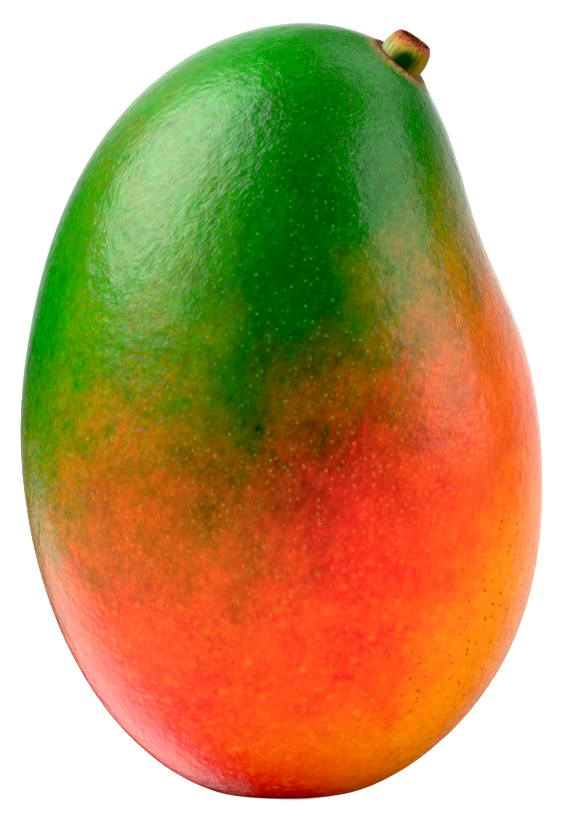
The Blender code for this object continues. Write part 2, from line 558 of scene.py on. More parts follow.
# %% [markdown]
# ## The paint box
#
# Every other node comes from the method `node`: its kind, its settings, which are set first
# because they can change its sockets, and then the values or links of its sockets. The rest of the
# class gives the nodes used most a short name. Colours go through Mix and places through Vector
# Math, because a Math node would turn them grey.

# %% A box of nodes for one finish
class PaintBox:
    """Adds nodes to one material, or to the surroundings."""

    def __init__(self, owner):
        owner.use_nodes = True
        self.owner, self.tree = owner, owner.node_tree

    def node(self, kind, settings=None, sockets=None, output=0):
        """A node of one kind. Its settings come first, then the values or links of its sockets."""
        made = self.tree.nodes.new(kind)
        for key, value in (settings or {}).items():
            setattr(made, key, value)
        for key, value in (sockets or {}).items():
            self.plug(made.inputs[key], value)
        return Wire(self, made.outputs[output])

    def plug(self, socket, value):
        """Links a wire to a socket, or sets the socket's own value."""
        if isinstance(value, Wire):
            self.tree.links.new(value.socket, socket)
        elif socket.type == "RGBA" and len(value) == 3:
            socket.default_value = (*value, 1.0)
        else:
            socket.default_value = value

    def finish(self, **sockets):
        """Sets the shader's own sockets, by names with _ for a space."""
        shader = self.tree.nodes["Principled BSDF"]
        for key, value in sockets.items():
            self.plug(shader.inputs[key.replace("_", " ")], value)
        return self.owner

    def vector(self, operation, first, second=None, scale=None, output=0):
        """A sum on places or directions."""
        sockets = {0: first, 1: second, "Scale": scale}
        sockets = {key: value for key, value in sockets.items() if value is not None}
        return self.node("ShaderNodeVectorMath", {"operation": operation}, sockets, output)

    def place_mm(self):
        """The place on the piece in millimetres, as a vector."""
        return self.vector("SCALE", self.node("ShaderNodeTexCoord", output="Object"), scale=1000.0)

    def length(self, vector):
        return self.vector("LENGTH", vector, output="Value")

    def dot(self, first, second):
        return self.vector("DOT_PRODUCT", first, tuple(second), output="Value")

    def parts(self, vector):
        """The three numbers of a vector."""
        split = self.node("ShaderNodeSeparateXYZ", sockets={0: vector})
        return [split.other(output) for output in range(3)]

    def join(self, x=0.0, y=0.0, z=0.0):
        """A vector or a colour from three numbers."""
        return self.node("ShaderNodeCombineXYZ", sockets={0: x, 1: y, 2: z})

    def ramp(self, value, start, end, low=0.0, high=1.0):
        """Goes smoothly from low at start to high at end."""
        return self.node("ShaderNodeMapRange", {"interpolation_type": "SMOOTHSTEP"}, {
            "Value": value, "From Min": start, "From Max": end, "To Min": low, "To Max": high})

    def clamp(self, value, low=0.0, high=1.0):
        """Keeps a value between low and high."""
        return self.node("ShaderNodeClamp", sockets={"Value": value, "Min": low, "Max": high})

    def mix(self, first, second, factor, blend="MIX"):
        """From the first colour to the second as the factor goes from 0 to 1."""
        settings = {"data_type": "RGBA", "blend_type": blend}
        return self.node("ShaderNodeMix", settings, {0: factor, 6: first, 7: second}, output=2)

    def filter(self, first, second, factor=1.0):
        """The first colour seen through the second, as through coloured glass."""
        return self.mix(first, second, factor, blend="MULTIPLY")

    def bump(self, height_mm):
        """Bumps of a height in mm, for the Normal socket."""
        return self.node("ShaderNodeBump", sockets={
            "Strength": 1.0, "Distance": 0.001, "Height": height_mm})


print("a paint box can:", [name for name in vars(PaintBox) if not name.startswith("_")])

# %% [markdown]
# ## Noise that lies on a round fruit
#
# A flat picture stretches when it is wrapped round a fruit. Noise in space doesn't, because the
# peel cuts through it like a knife. Clouds are noise that is the same in every direction. The
# fourth number of the place, here called the shift, picks another cloud of the same kind.

# %% Clouds
NOISE_GAIN = 4.0  # brings Blender's noise, mostly 0.25 to 0.75, to about -1 to 1


def cloud(box, place, size, detail=2.0, roughness=0.5, shift=0.0, gain=NOISE_GAIN):
    """Soft noise between about -1 and 1, with patches about size across."""
    raw = box.node("ShaderNodeTexNoise", {"noise_dimensions": "4D"}, {
        "Vector": place, "W": shift, "Scale": 1.0 / size, "Detail": detail,
        "Roughness": roughness})
    return (raw - 0.5) * gain


print("noise of 0.25 and 0.75 becomes", [(raw - 0.5) * NOISE_GAIN for raw in (0.25, 0.75)])

# %% [markdown]
# ## Lines of growth
#
# The marks on a mango's peel aren't the same in every direction. The peel was stretched as the
# fruit grew away from its stem, so fine lines run out from the stem like the lines of a globe. A
# noise that is looked up by the direction from a point above the stem, and by the distance from
# it, gives them. Stretching a cloud along +Z would give upright lines all over, which no fruit
# has.

# %% Growth lines
GROWTH_ORIGIN_MM = 1000 * (STEM_BASE + 0.05 * STEM_AXIS)
GROWTH_REACH_MM = 110.0  # the distance from that point at which widths are true
GROWTH_ROUGHNESS = 0.55


def growth_lines(box, place, width, length, detail=2.0):
    """Noise in streaks, about -1 to 1, of a width and a length in mm."""
    offset = box.vector("SUBTRACT", place, tuple(GROWTH_ORIGIN_MM))
    way = box.vector("SCALE", box.vector("NORMALIZE", offset), scale=GROWTH_REACH_MM / width)
    return cloud(box, way, 1.0, detail, GROWTH_ROUGHNESS, shift=box.length(offset) / length)


print("the lines start at, in mm:", np.round(GROWTH_ORIGIN_MM, 1))

# %% [markdown]
# ## Patches of pigment
#
# Three pigments colour a mango. Yellow carotene is there all over. Green chlorophyll lies over it
# where the fruit is unripe, and red anthocyanin where the sun reached it. A pigment works like
# coloured glass, so each is a filter that the yellow is seen through. Where green and red glass
# overlap, the peel turns brown and dark, just as it does on the real fruit.
#
# The colours could be painted on a picture and wrapped round the fruit, but a picture is pulled
# out of shape on a round fruit and blurs close up. So the work is to say by sums how much of each
# pigment there is at each place. A ramp over the height does most of it, and soft patches do the
# rest. A patch is placed as it is seen from the front, across and up, and then laid on the cheek
# that it belongs to.

# %% Soft patches on the two cheeks
PATCH_DEPTH_MM = 50.0
FRONT, BACK = -1, 1


def peel_depth(across, up):
    """How far from the middle plane the peel lies, at a place seen from the front, in mm."""
    rise = up - 1000 * MIDDLE[2]
    edge = 1000 * float(EDGE(np.array(math.atan2(rise, across))))
    return 1000 * HALF_THICKNESS * math.sqrt(max(0.0, 1 - (math.hypot(across, rise) / edge) ** 2))


def blob(box, place, centre, radii):
    """A soft patch: 1 at a centre, falling to 0 at the given radii."""
    offset = box.vector("SUBTRACT", place, centre)
    distance = box.length(box.vector("DIVIDE", offset, radii))
    return box.ramp(distance, 0.0, 1.0, 1.0, 0.0)


def patches(box, place, table):
    """The sum of soft patches: rows of strength, across, up, half-width, half-height and side."""
    total = 0.0
    for strength, across, up, width, height, side in table:
        centre = (across, side * peel_depth(across, up), up)
        total = blob(box, place, centre, (width, PATCH_DEPTH_MM, height)) * strength + total
    return total


print("the front cheek stands out by", round(peel_depth(0.0, 60.0), 1), "mm")

# %% [markdown]
# ## How far the green comes down
#
# The shoulders were shaded by leaves and stayed green. The green ends at a height that climbs
# under the stem and drops on the left flank, so that line of heights comes first. Patches then add
# the tongue of green that hangs down in front, and the windows where it has already thinned.

# %% Green pigment
GREEN_END = 49.6
GREEN_CLIMB = (0.3, 29.3, 0.0, 26.3)  # from and to across, and the rise of the end from and to
GREEN_DROP = (-29.5, -38.0, 0.0, 10.7)
GREEN_FADE = (-28.5, 36.8)
GREEN_PATCHES = (
    (0.36, -14.5, 53.3, 45.0, 26.3, FRONT),  # the tongue that hangs down the front
    (-0.25, -22.4, 56.0, 18.9, 19.9, FRONT),  # the thin window left of it
    (-0.21, 4.5, 65.8, 12.7, 21.5, FRONT),
    (0.13, -36.0, 28.0, 45.0, 26.9, FRONT),  # the trail down the left flank
    (-0.09, -21.3, 98.0, 18.4, 60.0, FRONT),  # the paler left shoulder, partly painted light from the big softbox
    (0.25, 8.0, 69.6, 21.3, 19.4, FRONT),
    (-0.25, 37.0, 76.0, 12.0, 20.0, FRONT),
    (-0.10, 6.0, 43.0, 20.0, 18.0, FRONT),
    (-0.06, -24.0, 32.0, 18.0, 10.0, FRONT),
    (0.30, 12.0, 48.0, 24.0, 22.0, BACK),
    (-0.30, -14.0, 66.0, 22.0, 20.0, BACK),
)


def green_amount(box, place):
    """How much green pigment there is, from 0 to 1."""
    across, _, up = box.parts(place)
    end = GREEN_END + box.ramp(across, *GREEN_CLIMB) - box.ramp(across, *GREEN_DROP)
    return box.clamp(box.ramp(up - end, *GREEN_FADE) + patches(box, place, GREEN_PATCHES))


print("patches of green:", len(GREEN_PATCHES))

# %% [markdown]
# ## Where the sun reddened it
#
# The blush lies where the sun came in under the leaves: over the whole lower fruit, up to a height
# where the green takes over. One flank hung in the shade of the fruit itself and stayed yellow.
# Its border is a slanting plane through the fruit, because sunlight falls in straight lines.

# %% Red pigment
RED_END = 74.8
RED_DROP = (5.0, -32.4, 0.0, 13.1)  # from and to across, and the drop of the end from and to
RED_FADE = (23.1, -23.1, 0.0, 0.83)
RED_PATCHES = (
    (0.20, 10.1, 60.0, 20.5, 60.0, FRONT),  # deepest under the dark green, partly painted shade where the front gets less light
    (-0.12, -17.8, 43.0, 25.0, 11.2, FRONT),
    (0.31, -12.0, 3.3, 44.8, 32.4, FRONT),  # crimson near the tip
    (-0.50, -39.9, 47.2, 15.5, 27.1, FRONT),
    (-0.33, 5.9, 11.0, 31.8, 14.3, FRONT),  # yellow showing through at the tip
    (0.39, 31.9, 84.8, 12.1, 35.6, FRONT),  # the blush that climbs beside the fold
    (-0.10, 33.6, 50.0, 9.6, 60.0, FRONT),
    (0.20, -8.0, 50.0, 26.0, 30.0, BACK),
    (-0.25, 20.0, 30.0, 22.0, 24.0, BACK),
)
SHADE_POINT = (14.6, 6.5)  # across and up of a point on the border of the shaded flank
SHADE_WAY = (0.878, -0.479)  # the way that the shade deepens, across and up
SHADE_FADE = (-8.9, 5.8, 0.0, 0.69)


def red_amount(box, place):
    """How much red pigment there is, from 0 to 1."""
    across, _, up = box.parts(place)
    end = RED_END - box.ramp(across, *RED_DROP)
    red = box.clamp(box.ramp(up - end, *RED_FADE) + patches(box, place, RED_PATCHES))
    past = (across - SHADE_POINT[0]) * SHADE_WAY[0] + (up - SHADE_POINT[1]) * SHADE_WAY[1]
    return red * (1 - box.ramp(past, *SHADE_FADE))


print("patches of red:", len(RED_PATCHES))

# %% [markdown]
# ## How dark the green is
#
# The green is darkest in a band that runs from the stem down the front, and lighter towards the
# flanks and on the crown. Part of this is the pigment's own depth, and part is painted shade and
# light: painted shade darkens the front, which gets less light from the lamps at the sides, and
# painted light brightens the crown on the upper left, under the big softbox. One green all over
# would look like paint. More of the pigment could make it darker, but then its border would move
# down as well, so the depth is a number of its own: how much green light comes through the glass.

# %% Depth of the green
LEAF_LIGHT, LEAF_DARKEST = 0.82, 0.2
# Part of these patches is painted shade and light: darker down the front, lighter on the upper
# left.
LEAF_AND_SHADE_PATCHES = (
    (-0.51, 4.4, 94.0, 14.0, 60.0, FRONT),  # the dark band, partly painted shade on the front
    (-0.28, -6.6, 82.5, 10.3, 31.6, FRONT),
    (-0.32, 23.4, 103.5, 21.4, 60.0, FRONT),
    (0.53, -16.0, 119.6, 29.5, 16.6, FRONT),  # fresh green on the crown, partly painted light under the big softbox
    (-0.45, -6.0, 88.0, 20.0, 46.0, BACK),
)


def leaf_light_and_shade(box, place):
    """How much green light the green lets through, with some painted shade and light in it."""
    return box.clamp(LEAF_LIGHT + patches(box, place, LEAF_AND_SHADE_PATCHES), LEAF_DARKEST)


print("patches of dark and fresh green:", len(LEAF_AND_SHADE_PATCHES))

# %% [markdown]
# ## Borders that wander
#
# Ramps and patches alone would look airbrushed. On the real peel every border between two colours
# is ragged, and drawn out downwards in tongues. Noise could be added to the amount of a pigment,
# but that speckles a border and doesn't move it. So before any pigment is looked up, the place
# itself is stirred: moved about by clouds of two sizes, and moved up or down in wide growth lines.

# %% Stir the place
BROAD_STIR = (9.0, 2.6, 1.0)  # size of the clouds, reach, and the shift that picks the cloud
FINE_STIR = (2.4, 1.0, 2.0)
TONGUE_WIDTH, TONGUE_LENGTH, TONGUE_DROP = 4.0, 18.0, 3.0


def stirred(box, place, size, reach, shift):
    """The place, moved about by up to reach in clouds of a size."""
    colour = box.node("ShaderNodeTexNoise", {"noise_dimensions": "4D"}, {
        "Vector": place, "W": shift, "Scale": 1.0 / size, "Detail": 2.0}, "Color")
    centred = box.vector("SUBTRACT", colour, (0.5, 0.5, 0.5))
    return box.vector("ADD", place, box.vector("SCALE", centred, scale=NOISE_GAIN * reach))


def wandering_place(box, place):
    """The place at which the pigments are looked up."""
    wandering = stirred(box, stirred(box, place, *BROAD_STIR), *FINE_STIR)
    tongue = growth_lines(box, place, TONGUE_WIDTH, TONGUE_LENGTH)
    return box.vector("ADD", wandering, box.join(z=tongue * TONGUE_DROP))


print("borders wander by up to", BROAD_STIR[1] + FINE_STIR[1] + TONGUE_DROP, "mm")

# %% [markdown]
# ## The skin's own unevenness
#
# Four kinds of noise come back in nearly everything the skin does: broad patches, fine grain,
# streaks along the growth lines and short flecks. Each part of the finish takes its own share of
# each, so the shares are small tables, and one function adds them up.

# %% Four kinds of noise, and their shares
SKIN_CLOUDS = {  # size, detail, roughness and shift
    "patchy": (5.0, 3.0, 0.5, 3.0),
    "grain": (1.1, 4.0, 0.7, 4.0),
}
SKIN_LINES = {  # width, length and detail
    "streak": (0.8, 4.5, 3.0),
    "fleck": (0.45, 1.5, 3.0),
}
MOTTLE = {"patchy": 0.15, "grain": 0.09, "streak": 0.13}  # raggedness of the green's border
BLUSH = {"patchy": 0.08, "grain": 0.09, "streak": 0.06}  # unevenness of the red
LEAF = {"streak": 0.26, "patchy": 0.20}  # unevenness of the green's depth
TONE = {"grain": 0.22, "fleck": 0.20, "patchy": 0.12}  # lighter and darker, whatever the colour


def noises_at(box, place, clouds, lines):
    """Noises by name, each about -1 to 1: clouds, and growth lines."""
    noises = {kind: cloud(box, place, *row) for kind, row in clouds.items()}
    noises.update({kind: growth_lines(box, place, *row) for kind, row in lines.items()})
    return noises


def blend(noises, shares):
    """The sum of some of the noises, each by its share."""
    total = 0.0
    for kind, share in shares.items():
        total = noises[kind] * share + total
    return total


print("the tone moves by up to", round(sum(TONE.values()), 2))

# %% [markdown]
# ## Pores and their halos
#
# A mango breathes through lenticels: pale pores, a few millimetres apart. There are thousands of
# them, too many to model or to paint. A Voronoi texture scatters points through space, and gives
# at each place the distance to the nearest point and a colour that is that point's own. A small
# distance makes a round dot, and one part of the colour serves as the dot's luck, so that some
# dots are strong and some hardly show.
#
# The same scatter at a wider spacing makes the halos: spots low on the fruit where the red has
# faded round a pore and the yellow shows through.

# %% Dots
PORE_SPACING, PORE_SHIFT = 1.05, 11.0
PORE_SIZE, PORE_SHRINK = 0.50, 0.15  # the radius in the red, and how much less it is in the green
PORE_FAINT, PORE_STRENGTH, PORE_GAIN = 0.05, 0.20, 0.29
HALO_SPACING, HALO_SIZE, HALO_SHIFT = 2.1, 1.0, 53.0
HALO_FADE = (52.0, 28.0, 0.0, 0.32)


def scattered_dots(box, place, spacing, size, shift):
    """Scattered round dots, and a number from 0 to 1 that is each dot's own luck."""
    moved = box.vector("ADD", place, (shift, 0.0, 0.0))
    distance = box.node(
        "ShaderNodeTexVoronoi", sockets={"Vector": moved, "Scale": 1.0 / spacing},
        output="Distance")
    luck = box.parts(distance.other("Color"))[0]
    return box.ramp(distance * spacing, size, 0.1 * size), luck


def halo_amount(box, place):
    """How much red is missing round the pores low on the fruit."""
    halo, luck = scattered_dots(box, place, HALO_SPACING, HALO_SIZE, HALO_SHIFT)
    return halo * luck * box.ramp(box.parts(place)[2], *HALO_FADE)


print("pores are up to", 2 * PORE_SIZE, "mm across, and halos up to", 2 * HALO_SIZE, "mm")

# %% [markdown]
# ## The pigments as coloured glass
#
# Now the pigments meet. The green's border is made ragged where green and yellow are about even,
# because `green * (1 - green)` is largest there, and the red gives way a little where the green
# gains. Yellow and red are mixed first, the green glass goes over them, and a grey glass last, for
# the tone.

# %% Yellow, red and green
YELLOW = (0.88, 0.29, 0.003)
CRIMSON = (0.86, 0.021, 0.010)
LEAF_RED, LEAF_BLUE = 0.003, 0.35  # how much red and blue light the green lets through
RED_GIVES_WAY = 0.4
TONE_IN_RED, TONE_IN_GREEN = 0.35, 0.65


def pigments(box, place, noises):
    """The amounts of green and red, and the colour of the skin that they give."""
    wandering = wandering_place(box, place)
    green = green_amount(box, wandering)
    mottle = green * (1 - green) * 4.0 * blend(noises, MOTTLE)
    green = box.clamp(green + mottle)
    red = red_amount(box, wandering) - halo_amount(box, place)
    red = box.clamp(red + blend(noises, BLUSH) - mottle * RED_GIVES_WAY)

    # The green's depth holds painted shade down the front and painted light on the crown.
    light = leaf_light_and_shade(box, wandering) * (1 + blend(noises, LEAF))
    skin = box.mix(YELLOW, CRIMSON, red)
    skin = box.filter(skin, box.join(LEAF_RED, light, LEAF_BLUE), green)
    tone = 1 - blend(noises, TONE) * (TONE_IN_RED + TONE_IN_GREEN * green)
    return green, red, box.filter(skin, box.join(tone, tone, tone))


print("yellow, crimson:", YELLOW, CRIMSON)

# %% [markdown]
# ## Pores and specks on the skin
#
# The pores are the colour of the flesh under them: orange in the red, and fresh green in the
# green, where they are also smaller and sharper. On the yellow flank some of them have gone brown,
# as they do on a ripe fruit. Those specks are a scatter of their own, kept to that flank and out
# of the red.

# %% Pores and brown specks
PORE_IN_RED = (0.98, 0.27, 0.045)
PORE_IN_GREEN = (0.07, 0.39, 0.035)
SPECK_BROWN = (0.30, 0.008, 0.001)
SPECK_SPACING, SPECK_SIZE, SPECK_SHIFT = 1.3, 0.42, 37.0
SPECK_ACROSS, SPECK_UP, SPECK_RED = (8.0, 22.0), (70.0, 46.0), (0.85, 0.45)
SPECK_LUCK, SPECK_STRENGTH = (0.3, 0.85), 0.95


def add_pores(box, place, skin, green):
    """The skin with its pores, and the pores themselves."""
    size = PORE_SIZE - PORE_SHRINK * green
    dots, luck = scattered_dots(box, place, PORE_SPACING, size, PORE_SHIFT)
    pore = box.mix(PORE_IN_RED, PORE_IN_GREEN, green * green)
    strength = luck * (PORE_STRENGTH + PORE_GAIN * green) + PORE_FAINT
    return box.mix(skin, pore, dots * strength), dots


def add_specks(box, place, skin, red):
    """The skin with its brown specks, and the specks themselves."""
    across, _, up = box.parts(place)
    specks, luck = scattered_dots(box, place, SPECK_SPACING, SPECK_SIZE, SPECK_SHIFT)
    flank = box.ramp(across, *SPECK_ACROSS) * box.ramp(up, *SPECK_UP) * box.ramp(red, *SPECK_RED)
    specks = specks * box.ramp(luck, *SPECK_LUCK) * flank
    return box.mix(skin, SPECK_BROWN, specks * SPECK_STRENGTH), specks


print("specks are up to", 2 * SPECK_SIZE, "mm across")

# %% [markdown]
# ## Cork round the stem
#
# Where the peel meets the stem it has healed to cork: tan, crumbly, and darker and redder close to
# the stem. It could be a thin piece of its own, but the peel turns into it without a seam, so it
# is part of the peel's finish: a ring round the stem's axis, on the collar that the mesh has
# there. Its outer edge is frayed by fine growth lines, which run out from the stem like rays, and
# crumbled by rough noise.

# %% Cork
CORK_TAN, CORK_RED = (0.46, 0.21, 0.08), (0.13, 0.018, 0.005)
CORK_WANDER = {"grain": 0.2, "patchy": 0.15}
CORK_RAYS = (0.5, 6.0)  # width and length
CORK_CRUMB = (0.6, 4.0, 0.75, 5.0)  # size, detail, roughness and shift
CORK_FRAY, CORK_EDGE, CORK_LIMIT = 1.2, (7.3, 5.0), (7.8, 6.7)  # distances from the axis
CORK_UP = (112.0, 114.0)
CORK_CRUMBLE, CORK_STRENGTH = 0.25, 0.9
REDDER_NEAR, REDDER_BASE, REDDER_CRUMB, REDDER_RAYS = (5.8, 4.6), 0.2, 1.2, 0.8


def add_cork(box, place, skin, noises):
    """The skin with its ring of cork, how much cork there is, and how crumbly it is."""
    offset = box.vector("SUBTRACT", place, tuple(1000 * STEM_BASE))
    turned = box.vector("CROSS_PRODUCT", offset, tuple(STEM_AXIS))
    aside = box.length(turned) + blend(noises, CORK_WANDER)
    rays, crumb = growth_lines(box, place, *CORK_RAYS), cloud(box, place, *CORK_CRUMB)
    cork = box.clamp(box.ramp(aside + rays * CORK_FRAY, *CORK_EDGE) + crumb * CORK_CRUMBLE)
    cork = cork * box.ramp(aside, *CORK_LIMIT) * box.ramp(box.parts(place)[2], *CORK_UP)
    redder = crumb * REDDER_CRUMB + rays * REDDER_RAYS + box.ramp(aside, *REDDER_NEAR)
    colour = box.mix(CORK_TAN, CORK_RED, box.clamp(redder + REDDER_BASE))
    return box.mix(skin, colour, cork * CORK_STRENGTH), cork, crumb


print("the cork is about", round(sum(CORK_EDGE), 1), "mm across")

# %% [markdown]
# ## The relief and the wax
#
# The wax on the peel is smooth, but the peel under it is not, and a broad highlight shows it more
# than any colour does. As real shape, relief this fine would take millions of faces. Bumps only
# bend the light, which is enough for heights of a few hundredths of a millimetre. The relief is
# given in millimetres: lumps, pebbles and a fine roughness that are the same in every direction,
# short growth lines, pores that stand up a little, specks that have sunk in, and the crumbly cork,
# which has no wax and is dull.

# %% Peel finish
RELIEF_CLOUDS = {  # size, detail, roughness and shift
    "lump": (2.6, 1.0, 0.5, 7.0),
    "pebble": (1.0, 2.0, 0.5, 6.0),
    "fine": (0.45, 1.0, 0.5, 8.0),
}
RELIEF_LINES = {"lines": (0.6, 1.8)}  # width and length
RELIEF_MM = {"lump": 0.055, "pebble": 0.026, "fine": 0.008, "lines": 0.016}
PORE_MM, SPECK_MM, CRUMB_MM = 0.012, -0.02, 0.05
WAX_ROUGHNESS, GRAIN_DULLS, CORK_DULLS = 0.21, 0.02, 0.35


def peel_finish():
    box = PaintBox(bpy.data.materials.new("mango_peel"))
    place = box.place_mm()
    noises = noises_at(box, place, SKIN_CLOUDS, SKIN_LINES)
    green, red, skin = pigments(box, place, noises)
    skin, dots = add_pores(box, place, skin, green)
    skin, specks = add_specks(box, place, skin, red)
    skin, cork, crumb = add_cork(box, place, skin, noises)
    relief = blend(noises_at(box, place, RELIEF_CLOUDS, RELIEF_LINES), RELIEF_MM)
    relief = relief + dots * PORE_MM + specks * SPECK_MM + cork * crumb * CRUMB_MM
    dull = WAX_ROUGHNESS + noises["grain"] * GRAIN_DULLS + cork * CORK_DULLS
    return box.finish(Base_Color=skin, Roughness=dull, Normal=box.bump(relief))


peel.data.materials.append(peel_finish())
print("nodes of the peel's finish:", len(peel.data.materials[0].node_tree.nodes))

# %% [markdown]
# ## The fibres of the stub
#
# The stub is green wood, and wood is fibres. A Wave texture makes stripes, but they are as even as
# the teeth of a comb, so the fibres are a noise. Their noise is looked up by the direction round
# the stem's axis and, much more slowly, by the distance along it, so each fibre runs the length of
# the stub. The same two numbers, round and along, then place every colour of the bark.

# %% Places on the stub
FIBRES_ROUND, FIBRE_LENGTH, FIBRE_GAIN = 12.0, 2.0, 6.0
FIBRE_DETAIL, FIBRE_ROUGHNESS = 3.0, 0.65
BARK_GRAIN = (0.4, 3.0, 0.65)  # size, detail and roughness


def stub_place(box):
    """Where a point of the stub lies, in mm along its axis, across it and to the right of it."""
    place = box.place_mm()
    offset = box.vector("SUBTRACT", place, tuple(1000 * STEM_BASE))
    turned = box.vector("CROSS_PRODUCT", offset, tuple(STEM_AXIS))
    along = box.dot(offset, STEM_AXIS)
    ring = box.vector("SCALE", box.vector("NORMALIZE", turned), scale=FIBRES_ROUND)
    fibre = cloud(box, ring, 1.0, FIBRE_DETAIL, FIBRE_ROUGHNESS, along / FIBRE_LENGTH, FIBRE_GAIN)
    return {
        "offset": offset,
        "along": along,
        "across": box.length(turned),
        "rightward": box.dot(offset, -SIDE),
        "fibre": fibre,
        "grain": cloud(box, place, *BARK_GRAIN),
    }


print("the stub's side and front:", np.round(SIDE, 2), np.round(FRONTWARD, 2))

# %% [markdown]
# ## The bark of the stub
#
# The bark is olive. On the left it is paler, partly from pale fibres and partly from a painted
# reflection of the big softbox on that side; there it has green threads and turns tan towards the
# cut. Low on the front, a dark green patch is painted shade. Under the cut the bark has bruised
# red and brown. Each of these is a layer that is mixed over the ones before it, like coats of thin
# paint. A layer's place is a ramp with two numbers, so it can be moved later without touching the
# others.

# %% Bark
BARK_OLIVE, BARK_YELLOW = (0.20, 0.13, 0.001), (0.42, 0.38, 0.002)
# The pale colour is partly pale fibres and partly a painted reflection of the big softbox.
BARK_PALE_AND_SHEEN, BARK_TAN = (0.40, 0.42, 0.14), (0.66, 0.27, 0.035)
# This dark green serves both the green threads and the painted shade low on the front.
BARK_GREEN_AND_SHADE = (0.001, 0.042, 0.001)
BRUISE_RED, BRUISE_BROWN = (0.46, 0.075, 0.025), (0.11, 0.02, 0.005)
SIDE_RAGGED = {"fibre": 0.8}
PALE_AND_SHEEN_ENDS, OLIVE_STARTS = (-3.0, -1.2), (0.3, 2.6)  # to the right
# A dark green patch low on the front of the stub is painted shade.
STUB_SHADE_CENTRE = 4.0 * FRONTWARD - 0.4 * SIDE + 0.2 * STEM_AXIS
STUB_SHADE_RADII, STUB_SHADE_FADE, STUB_SHADE_RAGGED = (4.2, 4.0, 3.6), (0.05, 0.8), {"fibre": 0.10}
THREADS, THREADS_LEFT, THREAD_STRENGTH = (0.15, 0.7), (0.0, -2.0), 0.6
TAN_LEFT, TAN_ALONG, TAN_RAGGED, TAN_STRENGTH = (0.6, -2.0), (0.9, 2.5), {"grain": 0.3}, 0.85
BRUISE_ALONG, BRUISE_RAGGED = (1.9, 3.3), {"grain": 0.5, "fibre": 0.3}
BROWNER_GRAIN, BROWNER_BASE = 1.2, 0.35


def bark_colour(box, spot):
    """The colour of the bark, layer over layer."""
    fibre, grain, along = spot["fibre"], spot["grain"], spot["along"]
    right = spot["rightward"] + blend(spot, SIDE_RAGGED)
    # Paler on the left: partly pale fibres, partly a painted reflection of the big softbox.
    skin = box.mix(BARK_PALE_AND_SHEEN, BARK_YELLOW, box.ramp(right, *PALE_AND_SHEEN_ENDS))
    skin = box.mix(skin, BARK_OLIVE, box.ramp(right, *OLIVE_STARTS))
    # Painted shade: the dark green patch low on the front of the stub.
    painted_shade = blob(box, spot["offset"], tuple(STUB_SHADE_CENTRE), STUB_SHADE_RADII)
    skin = box.mix(skin, BARK_GREEN_AND_SHADE, box.ramp(painted_shade + blend(spot, STUB_SHADE_RAGGED), *STUB_SHADE_FADE))
    threads = box.ramp(fibre, *THREADS) * box.ramp(right, *THREADS_LEFT)
    skin = box.mix(skin, BARK_GREEN_AND_SHADE, threads * THREAD_STRENGTH)
    dry = box.ramp(right, *TAN_LEFT) * box.ramp(along + blend(spot, TAN_RAGGED), *TAN_ALONG)
    skin = box.mix(skin, BARK_TAN, dry * TAN_STRENGTH)
    browner = box.clamp(grain * BROWNER_GRAIN + BROWNER_BASE)
    bruised = box.ramp(along + blend(spot, BRUISE_RAGGED), *BRUISE_ALONG)
    return box.mix(skin, box.mix(BRUISE_RED, BRUISE_BROWN, browner), bruised)


print("the young patch is centred, in mm from the stem's base, on:", np.round(STUB_SHADE_CENTRE, 1))

# %% [markdown]
# ## The cut and the stub's finish
#
# The cut face is brown, with the orange ends of torn fibres in it. The bark is satin, but the cut
# is dull and rough, so the mask of the cut also raises the roughness and the bumps.

# %% Stub finish
CUT_BROWN, CUT_ORANGE = (0.10, 0.012, 0.003), (0.75, 0.24, 0.06)
CUT_SPOTS, CUT_RADIUS, CUT_ALONG = (0.1, 0.6), (2.75, 2.5), (2.8, 3.1)
CUT_RAGGED = {"grain": 0.15}
BARK_MM, CUT_GRAIN_MM = {"fibre": 0.05, "grain": 0.03}, 0.10
BARK_ROUGHNESS, CUT_DULLS, BARK_SPECULAR = 0.42, 0.4, 0.2


def stub_finish():
    box = PaintBox(bpy.data.materials.new("mango_stem"))
    spot = stub_place(box)
    cut = box.ramp(spot["across"] + blend(spot, CUT_RAGGED), *CUT_RADIUS)
    cut = cut * box.ramp(spot["along"], *CUT_ALONG)
    face = box.mix(CUT_BROWN, CUT_ORANGE, box.ramp(spot["grain"], *CUT_SPOTS))
    relief = blend(spot, BARK_MM) + cut * spot["grain"] * CUT_GRAIN_MM
    return box.finish(
        Base_Color=box.mix(bark_colour(box, spot), face, cut),
        Roughness=BARK_ROUGHNESS + cut * CUT_DULLS,
        Specular_IOR_Level=BARK_SPECULAR,
        Normal=box.bump(relief))


stub.data.materials.append(stub_finish())
print("nodes of the stub's finish:", len(stub.data.materials[0].node_tree.nodes))

# %% [markdown]
# ## Fix the pieces to the frame
#
# The solid has one body, called root, because nothing on a mango moves. Each piece rides on it and
# takes the place of the solid's node that it stands for.

# %% Ride and replace
for piece, node, slot in ((peel, "fruit", "peel"), (stub, "stem_stub", "stem")):
    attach(piece, "root")
    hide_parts(node)
    print(piece.name, "rides on root and takes the place of", node)

# %% [markdown]
# ## The floor
#
# The mango stands on a white floor that melts into a white background. Lighting a floor that
# evenly would wash out the fruit, so the floor glows a little by itself, and for the camera only.
# Close to the flat spot the glow ends, and what is left is the thin shadow where the fruit stands.
# Further out it also bounces some light up, as a lit table would.

# %% Floor
FLOOR_HALF = 3.0
FLOOR_WHITE, FLOOR_ROUGHNESS = (0.8, 0.8, 0.8), 0.9
CONTACT = (2.0, 0.0, 0.0)  # the middle of the flat spot
GLOW_STARTS = (3.0, 7.0, 0.0, 1.0)
BOUNCE_STARTS = (10.0, 45.0, 0.0, 0.3)


